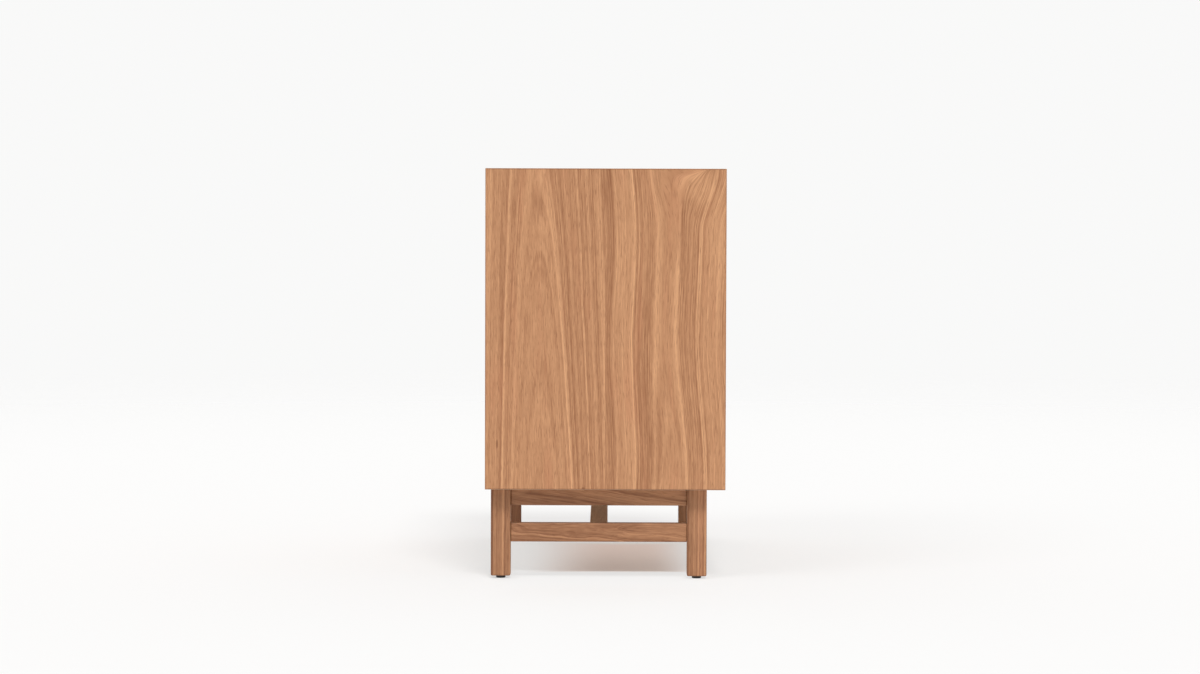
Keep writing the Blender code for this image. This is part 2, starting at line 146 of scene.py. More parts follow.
def startGroup(name, takes, gives):
    group = bpy.data.node_groups.new(name, "ShaderNodeTree")
    for label, kind, value in takes:
        socket = group.interface.new_socket(label, in_out="INPUT", socket_type=kind)
        if value is not None:
            socket.default_value = value
    for label, kind in gives:
        group.interface.new_socket(label, in_out="OUTPUT", socket_type=kind)
    start = addNode(group, "NodeGroupInput")
    end = addNode(group, "NodeGroupOutput")
    return group, start.outputs, end.inputs


def useGroup(tree, group, **values):
    return fill(tree, addNode(tree, "ShaderNodeGroup", node_tree=group), values).outputs


number, vector3 = "NodeSocketFloat", "NodeSocketVector"


# Growth rings: distance in mm from the pith of the log, which leans, bows and sways along the grain

logSway = {
    "slow": (0.010, 0.0042),  # per mm across and along the grain
    "quick": (0.05, 0.016),
    "sideways": 3.0,
    "quickShare": 0.35,
    "inDepth": 1.6,
}


def makeGrowthRings():
    takes = [
        ("point", vector3, None),
        ("across", number, 0.0),
        ("depth", number, 70.0),
        ("leanAcross", number, 0.0),
        ("leanDepth", number, 0.03),
        ("bow", number, 0.0),
        ("bowPeak", number, 0.0),
        ("bowLength", number, 500.0),
        ("crown", number, 0.0),
        ("sway", number, 6.0),
        ("ripple", number, 0.0),
        ("seed", number, 0.0),
    ]
    gives = [("radius", number), ("fibre", vector3)]
    tree, given, out = startGroup("growthRings", takes, gives)
    x, y, z = pickAxes(tree, given["point"])
    slow = stretch(tree, given["point"], *logSway["slow"], given["seed"])
    quick = stretch(tree, given["point"], *logSway["quick"], given["seed"])
    wide = pickAxes(tree, noise(tree, slow, 1.0, 1.0, 0.5, "Color"))
    fine = pickAxes(tree, noise(tree, quick, 1.0, 1.0, 0.5, "Color"))
    # sideways: lean, a cosine bow, wide sway and a small ripple
    turn = calc(tree, "DIVIDE", minus(tree, z, given["bowPeak"]), given["bowLength"])
    wave = calc(tree, "COSINE", times(tree, turn, 2 * math.pi))
    pith = timesAdd(tree, z, given["leanAcross"], given["across"])
    pith = timesAdd(tree, wave, given["bow"], pith)
    roam = times(tree, minus(tree, wide[0], 0.5), logSway["sideways"])
    roam = timesAdd(tree, minus(tree, fine[0], 0.5), logSway["quickShare"], roam)
    side = minus(tree, timesAdd(tree, roam, given["sway"], x), pith)
    # depth: lean, a crown that falls with the square of the height, slow drift and a ripple
    square = times(tree, times(tree, z, z), given["crown"])
    core = minus(tree, timesAdd(tree, z, given["leanDepth"], given["depth"]), square)
    drift = times(tree, minus(tree, wide[1], 0.5), logSway["inDepth"])
    deep = minus(tree, timesAdd(tree, drift, given["sway"], y), core)
    deep = timesAdd(tree, minus(tree, fine[1], 0.5), given["ripple"], deep)
    radius = calc(tree, "SQRT", timesAdd(tree, side, side, times(tree, deep, deep)))
    feed(tree, out["radius"], radius)
    feed(tree, out["fibre"], joinAxes(tree, side, deep, z))
    return tree


# Ring tone: light and dark bands that change with the radius only, faded here and there along the grain

ringBands = {
    "wide": {"scale": 0.45, "share": 0.5},
    "middle": {"scale": 1.3, "share": 0.7, "roughness": 0.6},
    "threads": {"scale": 4.6, "share": 0.95},
    "fadeScale": (0.03, 0.009),
    "fade": (0.28, 0.70),
}


def makeRingTone():
    takes = [
        ("radius", number, 80.0),
        ("fibre", vector3, None),
        ("ringWidth", number, 5.5),
        ("contrast", number, 1.0),
        ("seed", number, 0.0),
    ]
    tree, given, out = startGroup("ringTone", takes, [("tone", number)])
    place = calc(tree, "ADD", calc(tree, "DIVIDE", given["radius"], given["ringWidth"]), given["seed"])
    wide, middle, threads = (ringBands[key] for key in ("wide", "middle", "threads"))
    fade = noise(tree, stretch(tree, given["fibre"], *ringBands["fadeScale"]), 1.0, 1.0)
    lines = lineNoise(tree, place, threads["scale"], 1.0)
    lines = times(tree, lines, smooth(tree, fade, *ringBands["fade"]))
    tone = times(tree, lineNoise(tree, place, wide["scale"], 1.0), wide["share"])
    bands = lineNoise(tree, place, middle["scale"], 2.0, middle["roughness"])
    tone = timesAdd(tree, bands, middle["share"], tone)
    tone = timesAdd(tree, lines, threads["share"], tone)
    feed(tree, out["tone"], timesAdd(tree, tone, given["contrast"], 0.5))
    return tree


# Pores: short fine dashes drawn out along the grain, with a silky streak between them

poreLook = {
    "dash": (0.95, 0.050),  # per mm across and along the grain
    "fleck": (0.36, 0.030),
    "silk": (0.40, 0.012),
    "patch": (0.045, 0.004),
    "dashRange": (0.54, 0.72),
    "patchRange": (0.52, 0.78),
    "fleckShare": 0.45,
    "silkShare": 0.55,
}


def makePores():
    takes = [("fibre", vector3, None), ("seed", number, 0.0)]
    gives = [("pores", number), ("streak", number), ("patch", number)]
    tree, given, out = startGroup("woodPores", takes, gives)
    dash, fleck, silk, wide = (stretch(tree, given["fibre"], *poreLook[key], given["seed"])
                               for key in ("dash", "fleck", "silk", "patch"))
    pores = noise(tree, dash, 1.0, 1.0, 0.4)
    feed(tree, out["pores"], smooth(tree, pores, *poreLook["dashRange"]))
    flecks = times(tree, noise(tree, fleck, 1.0, 2.0, 0.6), poreLook["fleckShare"])
    threads = noise(tree, silk, 1.0, 3.0, 0.6)
    feed(tree, out["streak"], timesAdd(tree, threads, poreLook["silkShare"], flecks))
    feed(tree, out["patch"], smooth(tree, noise(tree, wide), *poreLook["patchRange"]))
    return tree


# Edge distance: how far a point on a box lies from the nearest edge of that box

def makeEdgeDistance():
    takes = [("point", vector3, None), ("centre", vector3, None), ("half", vector3, None)]
    tree, given, out = startGroup("edgeDistance", takes, [("distance", number)])
    offset = vectorCalc(tree, "ABSOLUTE", vectorCalc(tree, "SUBTRACT", given["point"], given["centre"]))
    a, b, c = pickAxes(tree, vectorCalc(tree, "SUBTRACT", given["half"], offset))
    # the middle one of the three distances to faces
    lower = calc(tree, "MINIMUM", a, b)
    upper = larger(tree, a, b)
    feed(tree, out["distance"], larger(tree, lower, calc(tree, "MINIMUM", upper, c)))
    return tree


# Slip match: a wide panel is laid up from leaves of one flitch, each slid along a little

leafSeam = {"slip": 18.0, "reach": (0.1, 0.5), "shade": 0.35}


def makeSlipMatch():
    takes = [("point", vector3, None), ("leafWidth", number, 240.0), ("slip", number, leafSeam["slip"])]
    tree, given, out = startGroup("slipMatch", takes, [("point", vector3), ("seam", number)])
    x, y, z = pickAxes(tree, given["point"])
    place = calc(tree, "DIVIDE", x, given["leafWidth"])
    leaf = calc(tree, "FLOOR", place)
    inLeaf = times(tree, minus(tree, minus(tree, place, leaf), 0.5), given["leafWidth"])
    feed(tree, out["point"], joinAxes(tree, inLeaf, y, timesAdd(tree, leaf, given["slip"], z)))
    margin = minus(tree, times(tree, given["leafWidth"], 0.5), calc(tree, "ABSOLUTE", inLeaf))
    feed(tree, out["seam"], fadeOut(tree, margin, *leafSeam["reach"]))
    return tree


growthRings = makeGrowthRings()
ringTone = makeRingTone()
woodPores = makePores()
edgeDistance = makeEdgeDistance()
slipMatch = makeSlipMatch()
print("shared effects ready")


# Wood finishes: colours of the darkest and lightest grain, of pores and of the warmer patches

walnutVeneer = {
    "dark": (0.288, 0.116, 0.049, 1),
    "light": (0.685, 0.364, 0.187, 1),
    "pore": (0.215, 0.084, 0.036, 1),
    "blush": (0.540, 0.232, 0.118, 1),
    "roughness": 0.46,
    "poreDepth": 0.42,
    "endShade": 0.62,
}
walnutSolid = {
    "dark": (0.203, 0.080, 0.036, 1),
    "light": (0.535, 0.270, 0.137, 1),
    "pore": (0.130, 0.048, 0.022, 1),
    "blush": (0.417, 0.177, 0.091, 1),
    "roughness": 0.48,
    "poreDepth": 0.36,
    "endShade": 0.60,
}
# walnut made paler for the long stretcher, which lies in shade under the case: painted light
paleWalnutPaintedLight = {
    **walnutSolid,
    "dark": (0.380, 0.205, 0.118, 1),
    "light": (0.720, 0.450, 0.282, 1),
    "blush": (0.580, 0.320, 0.186, 1),
}
backingVeneer = {
    "dark": (0.610, 0.480, 0.345, 1),
    "light": (0.800, 0.690, 0.545, 1),
    "blush": (0.740, 0.590, 0.440, 1),
    "pore": (0.500, 0.370, 0.250, 1),
}
maple = {
    "dark": (0.590, 0.415, 0.252, 1),
    "light": (0.780, 0.620, 0.435, 1),
    "pore": (0.500, 0.330, 0.185, 1),
    "blush": (0.740, 0.545, 0.380, 1),
    "roughness": 0.42,
    "poreDepth": 0.20,
    "endShade": 0.70,
}
birchPly = {
    "dark": (0.550, 0.375, 0.225, 1),
    "light": (0.730, 0.560, 0.378, 1),
    "pore": (0.420, 0.265, 0.147, 1),
    "blush": (0.680, 0.470, 0.315, 1),
    "roughness": 0.50,
    "poreDepth": 0.25,
    "endShade": 0.75,
}

woodSurface = {
    "silk": 1.15,
    "blushShare": 0.30,
    "endFacing": (0.6, 0.9),
    "endTint": (1.0, 0.95, 0.90),
    "rubReach": (0.0002, 0.0026),
    "rubStreaks": (0.30, 0.62),
    "poreRoughness": 0.16,
    "silkRoughness": 0.12,
    "rubRoughness": -0.06,
    "specular": 0.30,
    "silkRelief": 0.4,
    "bump": (0.16, 0.0003),
}
backingFacing = (0.5, 0.9)

xAxis, yAxis, zAxis = Vector((1, 0, 0)), Vector((0, 1, 0)), Vector((0, 0, 1))
toMillimetres = 1000.0


def nodeBox(name):
    low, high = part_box(name)
    return Vector(low), Vector(high)


def dress(name, material):
    obj = nodes[name]
    obj.data.materials.clear()
    obj.data.materials.append(material)


def startFinish(name):
    # new material, with object coordinates mapped to mm
    material = bpy.data.materials.new(name)
    material.use_nodes = True
    tree = material.node_tree
    where = addNode(tree, "ShaderNodeTexCoord")
    mapping = addNode(tree, "ShaderNodeMapping")
    fill(tree, mapping, {"Vector": where.outputs["Object"], "Scale": (toMillimetres,) * 3})
    return material, tree, mapping


def addBump(tree, shader, height, strength, distance):
    settings = {"Strength": strength, "Distance": distance, "Height": height}
    feed(tree, shader.inputs["Normal"], fill(tree, addNode(tree, "ShaderNodeBump"), settings).outputs[0])


def startWood(name, along, into):
    # object coordinates in mm from the middle of the face: x across the grain, y into the wood, z along
    low, high = nodeBox(name)
    middle = (low + high) / 2
    half = (high - low) / 2
    face = middle - Vector([a * b for a, b in zip(into, half)])
    turn = Matrix((into.cross(along), into, along)).to_euler("XYZ")
    material, tree, mapping = startFinish(name + "_wood")
    where = addNode(tree, "ShaderNodeTexCoord")
    place = -(turn.to_matrix() @ face) * toMillimetres
    fill(tree, mapping, {"Rotation": turn, "Location": place})
    edge = useGroup(tree, edgeDistance, point=where.outputs["Object"], centre=middle, half=half)
    axis = max(range(3), key=lambda i: abs(along[i]))
    facing = calc(tree, "ABSOLUTE", pickAxes(tree, where.outputs["Normal"])[axis])
    endGrain = smooth(tree, facing, *woodSurface["endFacing"])
    return material, mapping.outputs[0], edge["distance"], endGrain


def finishWood(material, finish, tone, fibre, edge, endGrain, seed, rubbed=0.14, mark=None, backing=None):
    # colour from tone, warm patches, pores, end grain and rubbed edges; roughness and bump follow
    tree = material.node_tree
    shader = tree.nodes["Principled BSDF"]
    fine = useGroup(tree, woodPores, fibre=fibre, seed=seed)
    silk = minus(tree, fine["streak"], 0.5)
    tone = timesAdd(tree, silk, woodSurface["silk"], tone, clamp=True)
    tints = {key: finish[key] for key in ("dark", "light", "blush", "pore")}
    if backing:
        tints = {key: blend(tree, backing, tint, backingVeneer[key]) for key, tint in tints.items()}
    colour = blend(tree, tone, tints["dark"], tints["light"])
    blush = times(tree, fine["patch"], woodSurface["blushShare"])
    colour = blend(tree, blush, colour, tints["blush"])
    colour = blend(tree, times(tree, fine["pores"], finish["poreDepth"]), colour, tints["pore"])
    if mark:
        colour = blend(tree, mark, colour, tints["pore"])
    shade = [finish["endShade"] * tint for tint in woodSurface["endTint"]]
    shade = blend(tree, endGrain, (1, 1, 1, 1), (*shade, 1))
    colour = blend(tree, 1.0, colour, shade, mode="MULTIPLY")
    rub = fadeOut(tree, edge, *woodSurface["rubReach"])
    rub = times(tree, rub, smooth(tree, fine["streak"], *woodSurface["rubStreaks"]))
    colour = blend(tree, times(tree, rub, rubbed), colour, tints["light"])
    feed(tree, shader.inputs["Base Color"], colour)
    rough = timesAdd(tree, fine["pores"], woodSurface["poreRoughness"], finish["roughness"])
    rough = timesAdd(tree, silk, woodSurface["silkRoughness"], rough)
    rough = timesAdd(tree, rub, woodSurface["rubRoughness"], rough)
    feed(tree, shader.inputs["Roughness"], rough)
    shader.inputs["Specular IOR Level"].default_value = woodSurface["specular"]
    relief = times(tree, fine["streak"], woodSurface["silkRelief"])
    relief = timesAdd(tree, fine["pores"], -1.0, relief)
    addBump(tree, shader, relief, *woodSurface["bump"])


def readRings(tree, point, log, seed):
    # rings of a log given as a dictionary, without its keys for tone
    place = {key: value for key, value in log.items() if key not in ("ringWidth", "contrast", "tones")}
    return useGroup(tree, growthRings, point=point, seed=seed, **place)


def ringRamp(tree, radius, tones):
    # listed tone of single growth rings, by radius in mm
    first = tones[0][0]
    span = tones[-1][0] - first
    ramp = addNode(tree, "ShaderNodeValToRGB")
    feed(tree, ramp.inputs[0], calc(tree, "DIVIDE", minus(tree, radius, first), span))
    stops = ramp.color_ramp.elements
    for index, (place, tone) in enumerate(tones):
        stop = stops[index] if index < 2 else stops.new(1.0)
        stop.position = (place - first) / span
        stop.color = (tone, tone, tone, 1)
    return minus(tree, ramp.outputs[0], 0.5)


def softOval(tree, point, spot, inner=0.0, outer=1.0):
    # 1 in the middle of an oval on the face, 0 outside it
    x, y, z = pickAxes(tree, point)
    a = calc(tree, "DIVIDE", minus(tree, x, spot["at"][0]), spot["size"][0])
    b = calc(tree, "DIVIDE", minus(tree, z, spot["at"][1]), spot["size"][1])
    reach = timesAdd(tree, a, a, times(tree, b, b))
    return fadeOut(tree, reach, inner, outer)


def addStreaks(tree, tone, point, streaks):
    # soft streaks of lighter and darker tone, in mm across and along the grain; some of those on the base are
    # painted light and shade
    for streak in streaks:
        tone = timesAdd(tree, softOval(tree, point, streak), streak["tone"], tone)
    return tone


def makeBoard(name, finish, along, into, log, seed, leafWidth=None, rubbed=0.14, backed=False, streaks=()):
    # one solid board, or a panel of slip-matched leaves if leafWidth is given
    material, point, edge, endGrain = startWood(name, along, into)
    tree = material.node_tree
    seam = None
    backing = None
    if backed:
        # the underside carries pale backing veneer
        where = addNode(tree, "ShaderNodeTexCoord")
        down = times(tree, pickAxes(tree, where.outputs["Normal"])[2], -1.0)
        backing = smooth(tree, down, *backingFacing)
    if leafWidth:
        leaves = useGroup(tree, slipMatch, point=point, leafWidth=leafWidth)
        point = leaves["point"]
        seam = times(tree, leaves["seam"], leafSeam["shade"])
    ring = readRings(tree, point, log, seed)
    tone = useGroup(tree, ringTone, radius=ring["radius"], fibre=ring["fibre"],
                    ringWidth=log["ringWidth"], contrast=log["contrast"], seed=seed)["tone"]
    if "tones" in log:
        tone = calc(tree, "ADD", tone, ringRamp(tree, ring["radius"], log["tones"]))
    tone = addStreaks(tree, tone, point, streaks)
    finishWood(material, finish, tone, ring["fibre"], edge, endGrain, seed, rubbed, seam, backing)
    dress(name, material)


# Side panels: two leaves of one flitch, with the cathedral figure of each set ring by ring

sideVeneer = {
    "seam": -0.5,
    "seamLight": {"at": -3.0, "halfWidth": 2.2, "from": 40, "to": 110, "strength": 0.20},
    "ringWidth": 5.2,
    "calmest": 0.3,
    "limbBlend": (-6.0, 6.0),
    "climb": (-200.0, 250.0),
    "rimShade": 0.42,
    "rimReach": (0.0010, 0.0022),
    "markShade": 0.75,
    "markEdge": (0.3, 1.2),
    "left": {
        "log": {"across": -130, "depth": 73.7, "leanAcross": -0.014, "leanDepth": 0.038, "sway": 1.6,
                "contrast": 0.95},
        "lines": {"low": 1.15, "high": 0.75},
        "calmInside": (76, 90),
        "leftTones": [
            (58, 0.50), (61, 0.53), (63.1, 0.42), (65.5, 0.53), (69, 0.54), (70.9, 0.42), (73, 0.56),
            (77, 0.50), (79.3, 0.38), (81.2, 0.57), (83.5, 0.48), (86.3, 0.74), (88.5, 0.50), (92, 0.42),
            (96, 0.50), (99.5, 0.38), (102.2, 0.94), (104.2, 0.24), (107, 0.34), (110, 0.46),
            (114, 0.50), (120, 0.56), (126, 0.50), (136, 0.54),
        ],
        "rightTones": [
            (58, 0.50), (61, 0.53), (63.1, 0.42), (65.5, 0.53), (69, 0.54), (70.9, 0.40), (73, 0.56),
            (77, 0.52), (79.3, 0.36), (81.2, 0.62), (83.2, 0.44), (85.4, 1.00), (87.2, 0.62), (89, 0.28),
            (92, 0.44), (95, 0.34), (99, 0.46), (103, 0.36), (108, 0.44), (112.4, 0.38), (114, 0.80),
            (115.8, 0.28), (120, 0.46), (127, 0.52), (134, 0.46), (142, 0.54), (150, 0.44),
        ],
    },
    "right": {
        "log": {"across": 122, "depth": 74.0, "leanAcross": -0.012, "leanDepth": 0.006, "crown": 3.0e-5,
                "bow": 5.0, "bowPeak": 195.0, "bowLength": 465.0, "sway": 1.6, "contrast": 0.95},
        "lines": {"low": 1.0, "high": 1.0},
        "calmInside": (73, 80),
        "leftTones": [
            (66, 0.62), (72, 0.62), (73.6, 0.46), (75, 0.58), (76.6, 0.80), (78.4, 0.42), (82, 0.28),
            (86, 0.36), (90, 0.22), (92.5, 0.32), (94, 0.64), (95.4, 0.36), (97, 0.42), (98.6, 0.98),
            (100.3, 0.54), (102, 0.76), (104, 0.54), (112, 0.62), (118, 0.56), (124, 0.62), (127, 0.56),
            (129, 0.38), (133, 0.32), (136.5, 0.42), (140, 0.28), (146, 0.30),
        ],
        "rightTones": [
            (66, 0.62), (72, 0.62), (73.6, 0.48), (75.4, 0.56), (76.9, 0.88), (78.6, 0.44), (81, 0.34),
            (83, 0.48), (84.6, 0.36), (87, 0.50), (88.6, 0.36), (91, 0.52), (93, 0.34), (95.6, 0.44),
            (97.2, 0.92), (98.6, 0.46), (99.8, 0.74), (102, 0.38), (106, 0.54), (112, 0.60),
            (120, 0.57), (128, 0.62), (144, 0.56),
        ],
    },
    "crotch": {"at": 126, "top": 325, "bend": 2500, "bendFade": (165, 225),
               "lean": 36, "leanFrom": (190, 330), "leanAcross": (130, 200),
               "push": 13, "pushFrom": (215, 315), "pushAcross": (70, 112),
               "closest": 4.0, "leftFold": 0.8, "rightFold": 0.86},
    "streaks": [
        {"at": (6, 290), "size": (16, 90), "tone": -0.09},
        {"at": (28, 140), "size": (12, 130), "tone": 0.15},
        {"at": (78, 200), "size": (18, 180), "tone": 0.18},
        {"at": (70, -110), "size": (16, 80), "tone": -0.06},
        {"at": (102, -220), "size": (12, 130), "tone": -0.22},
        {"at": (130, -240), "size": (24, 110), "tone": -0.12},
        {"at": (148, 200), "size": (10, 110), "tone": -0.25},
        {"at": (190, 285), "size": (35, 45), "tone": 0.28},
        {"at": (225, 150), "size": (22, 130), "tone": 0.14},
        {"at": (-208, 80), "size": (5, 240), "tone": -0.15},
        {"at": (-185, 235), "size": (6, 40), "tone": -0.18},
        {"at": (-235, 200), "size": (14, 200), "tone": 0.15},
        {"at": (-130, 265), "size": (24, 35), "tone": -0.14},
        {"at": (-125, 205), "size": (14, 30), "tone": 0.14},
    ],
    "marks": [
        {"at": (-216, -229), "size": (2.2, 10)},
        {"at": (-43.5, -318), "size": (4.0, 3.4)},
    ],
}


def partGrain(tree, point, crotch):
    # grain parts in a V below a knot above the panel: the left side is pushed aside on an S curve of the
    # height, the right side leans on another and bends over by bend / (distance to the knot's level)^2
    x, y, z = pickAxes(tree, point)
    push = times(tree, smooth(tree, z, *crotch["pushFrom"]), crotch["push"])
    push = times(tree, push, smooth(tree, x, *crotch["pushAcross"]))
    below = larger(tree, minus(tree, crotch["top"], z), crotch["closest"])
    bend = calc(tree, "DIVIDE", crotch["bend"], times(tree, below, below))
    bend = times(tree, bend, fadeOut(tree, x, *crotch["bendFade"]))
    lean = smooth(tree, z, *crotch["leanFrom"])
    lean = times(tree, lean, smooth(tree, x, *crotch["leanAcross"]))
    bend = timesAdd(tree, lean, crotch["lean"], bend)
    # neither side may fold past the middle of the V
    beside = minus(tree, x, crotch["at"])
    onLeft = larger(tree, times(tree, beside, -1.0), 0.0)
    onLeft = times(tree, onLeft, crotch["leftFold"])
    onRight = times(tree, larger(tree, beside, 0.0), crotch["rightFold"])
    moved = calc(tree, "ADD", x, calc(tree, "MINIMUM", push, onLeft))
    return joinAxes(tree, minus(tree, moved, calc(tree, "MINIMUM", bend, onRight)), y, z)


def leafTone(tree, point, leaf, settings, seed):
    # tone of one leaf: rings of its log, calmer near the heart, plus its listed lines by limb
    ring = readRings(tree, point, leaf["log"], seed)
    calmest = settings["calmest"]
    calm = smooth(tree, ring["radius"], *leaf["calmInside"])
    calm = timesAdd(tree, calm, 1 - calmest, calmest)
    grain = useGroup(tree, ringTone, radius=ring["radius"], fibre=ring["fibre"], seed=seed,
                     ringWidth=settings["ringWidth"],
                     contrast=times(tree, calm, leaf["log"]["contrast"]))
    side, deep, height = pickAxes(tree, ring["fibre"])
    limbs = [ringRamp(tree, ring["radius"], leaf[key]) for key in ("leftTones", "rightTones")]
    lines = blend(tree, smooth(tree, side, *settings["limbBlend"]), *limbs, "FLOAT")
    climb = smooth(tree, height, *settings["climb"])
    strength = blend(tree, climb, leaf["lines"]["low"], leaf["lines"]["high"], "FLOAT")
    return timesAdd(tree, lines, strength, grain["tone"]), ring["fibre"]


def makeSidePanel(name, into, settings, seed):
    material, point, edge, endGrain = startWood(name, zAxis, into)
    tree = material.node_tree
    x, y, z = pickAxes(tree, point)
    parted = partGrain(tree, point, settings["crotch"])
    leftTone, leftFibre = leafTone(tree, point, settings["left"], settings, seed)
    rightTone, rightFibre = leafTone(tree, parted, settings["right"], settings, seed)
    onRight = calc(tree, "GREATER_THAN", x, settings["seam"])
    tone = blend(tree, onRight, leftTone, rightTone, "FLOAT")
    fibre = blend(tree, onRight, leftFibre, rightFibre, "VECTOR")
    # pale line beside the seam, in the lower part
    pale = settings["seamLight"]
    beside = calc(tree, "ABSOLUTE", minus(tree, x, pale["at"]))
    beside = fadeOut(tree, beside, 0.0, pale["halfWidth"])
    lower = fadeOut(tree, z, pale["from"], pale["to"])
    tone = timesAdd(tree, times(tree, beside, lower), pale["strength"], tone)
    tone = addStreaks(tree, tone, point, settings["streaks"])
    # darker line along the rim, and two small marks
    mark = times(tree, fadeOut(tree, edge, *settings["rimReach"]), settings["rimShade"])
    for spot in settings["marks"]:
        oval = softOval(tree, point, spot, *settings["markEdge"])
        mark = larger(tree, times(tree, oval, settings["markShade"]), mark)
    finishWood(material, walnutVeneer, tone, fibre, edge, endGrain, seed, 0.0, mark)
    dress(name, material)


sidePanels = {"case_side_left": (xAxis, 2.0), "case_side_right": (-xAxis, 9.0)}
for panelName, (panelInto, panelSeed) in sidePanels.items():
    makeSidePanel(panelName, panelInto, sideVeneer, panelSeed)
print("side panels veneered")


# Other veneered panels: grain runs along the case, and up the back

casePanels = {
    "case_top": {"into": -zAxis, "along": xAxis, "seed": 4.0, "leaf": 242},
    "case_bottom": {"into": zAxis, "along": xAxis, "seed": 12.0, "leaf": 242},
    "case_back": {"into": -yAxis, "along": zAxis, "seed": 21.0, "leaf": 236},
    "drawer_rail_lower": {"into": yAxis, "along": xAxis, "seed": 25.0, "leaf": None},
    "drawer_rail_upper": {"into": yAxis, "along": xAxis, "seed": 27.0, "leaf": None},
}
panelLog = {"across": 6, "depth": 78, "leanAcross": 0.012, "leanDepth": 0.018, "bow": 4.0, "bowLength": 620,
            "sway": 4.0, "ringWidth": 5.2, "contrast": 0.95}
for panelName, panel in casePanels.items():
    makeBoard(panelName, walnutVeneer, panel["along"], panel["into"], panelLog, panel["seed"], panel["leaf"],
              backed=panelName == "case_bottom")

drawerFronts = {
    "drawer_top_front": {"across": 10, "leanDepth": 0.022, "bowPeak": 60},
    "drawer_middle_front": {"across": 4, "leanDepth": 0.020, "bowPeak": 75},
    "drawer_bottom_front": {"across": -4, "leanDepth": 0.018, "bowPeak": 95},
}
frontSeed = 33.0
for frontName, change in drawerFronts.items():
    makeBoard(frontName, walnutVeneer, xAxis, yAxis, {**panelLog, **change}, frontSeed)
print("case and drawer fronts veneered")


# Base: solid walnut, each member cut with the grain along it

baseLog = {"across": -200, "depth": 60, "leanAcross": 0.02, "leanDepth": 0.0, "sway": 1.0,
           "ringWidth": 4.4, "contrast": 0.9}
legTones = {
    # starts dark: painted shade along the left edge of this leg
    "leg_back_left": [(189, 0.00), (193.6, 0.00), (195.2, 0.55), (197, 0.48), (203, 0.42), (209, 0.50),
                      (211.5, 0.62), (213.4, 1.20), (215.2, 0.64), (216.8, 0.24), (219, 0.42), (222, 0.40),
                      (224.5, 0.36), (226.5, 0.66), (232, 0.74)],
    "leg_front_left": [(189, 0.40), (192, 0.08), (195, 0.40), (199, 0.34), (201.5, 0.40), (204.6, 0.66),
                       (207, 0.56), (209, 0.38), (210.4, 0.50), (211.9, 1.20), (213.6, 0.58), (215.5, 0.54),
                       (217.9, 0.78), (220.2, 0.26), (222.3, 0.52), (224.8, 1.08),
                       (226.4, 0.40), (227.4, 0.06), (230, 0.06)],
    # dark all over: painted shade on the far leg, which stands in shadow
    "leg_back_right": [(180, 0.12), (196, 0.22), (204, 0.08), (214, 0.18), (222, 0.06), (240, 0.16)],
}
railTones = [(30, 0.62), (40, 0.66), (41.4, 0.58), (42.6, 0.14), (44.2, 0.52), (46, 0.64), (49, 0.66),
             (53, 0.54), (56, 0.50), (57.9, 0.18), (61, 0.26), (65, 0.38), (71, 0.46), (80, 0.48), (90, 0.54)]
stretcherTones = [(28, 0.54), (38, 0.54), (42, 0.50), (46, 0.36), (52, 0.34), (60, 0.44)]
baseStreaksAndPaintedLight = {
    "leg_front_left": [
        # lighter over the upper part of the leg: painted light
        {"at": (0, 45), "size": (34, 80), "tone": 0.13},
    ],
    "base_rail_left": [
        # lighter at the end of the rail beside the back leg: painted light over the leg's shadow
        {"at": (13, 170), "size": (12, 34), "tone": 0.34},
        {"at": (-12, 120), "size": (10, 110), "tone": -0.18},
    ],
    "stretcher_left": [
        # darker over the upper part of the stretcher: painted shade
        {"at": (12, -36), "size": (16, 70), "tone": -0.32},
        {"at": (-14, 110), "size": (9, 90), "tone": -0.16},
    ],
}
baseMembers = {
    "leg_back_left": {"along": zAxis, "into": xAxis, "seed": 41.0,
                      "log": {"leanAcross": 0.012, "contrast": 0.7, "tones": legTones["leg_back_left"]}},
    "leg_front_left": {"along": zAxis, "into": xAxis, "seed": 43.0,
                       "log": {"leanAcross": 0.008, "contrast": 0.7, "tones": legTones["leg_front_left"]}},
    "leg_back_right": {"along": zAxis, "into": -xAxis, "seed": 45.0,
                       "log": {"tones": legTones["leg_back_right"]}},
    "leg_front_right": {"along": zAxis, "into": -xAxis, "seed": 47.0},
    "base_rail_left": {"along": yAxis, "into": xAxis, "seed": 51.0,
                       "log": {"across": 30, "depth": 40, "leanAcross": 0.13, "sway": 3.0, "ripple": 4.0,
                               "contrast": 0.8, "tones": railTones}},
    "base_rail_right": {"along": yAxis, "into": -xAxis, "seed": 53.0,
                        "log": {"across": 48, "depth": 50, "leanAcross": -0.03, "sway": 4.0}},
    "base_rail_front": {"along": xAxis, "into": yAxis, "seed": 55.0,
                        "log": {"across": 60, "depth": 40, "sway": 5.0}},
    "base_rail_back": {"along": xAxis, "into": -yAxis, "seed": 57.0,
                       "log": {"across": 58, "depth": 46, "sway": 5.0}},
    "stretcher_left": {"along": yAxis, "into": xAxis, "seed": 61.0,
                       "log": {"across": 10, "depth": 36, "leanAcross": 0.03, "leanDepth": 0.03, "sway": 6.0,
                               "ripple": 9.0, "ringWidth": 3.0, "contrast": 1.25, "tones": stretcherTones}},
    "stretcher_right": {"along": yAxis, "into": -xAxis, "seed": 63.0,
                        "log": {"across": 4, "depth": 30, "leanDepth": 0.04, "sway": 6.0, "ringWidth": 3.8}},
    # the long stretcher takes the paler walnut: painted light
    "stretcher_long": {"along": xAxis, "into": -zAxis, "seed": 65.0, "finish": paleWalnutPaintedLight,
                       "log": {"across": 30, "depth": 60, "sway": 5.0}},
}
for memberName, member in baseMembers.items():
    finish = member.get("finish", walnutSolid)
    memberLog = {**baseLog, **member.get("log", {})}
    makeBoard(memberName, finish, member["along"], member["into"], memberLog, member["seed"], rubbed=0.06,
              streaks=baseStreaksAndPaintedLight.get(memberName, ()))
print("base in solid walnut")


# Drawer boxes: pale maple boards, plywood bottoms

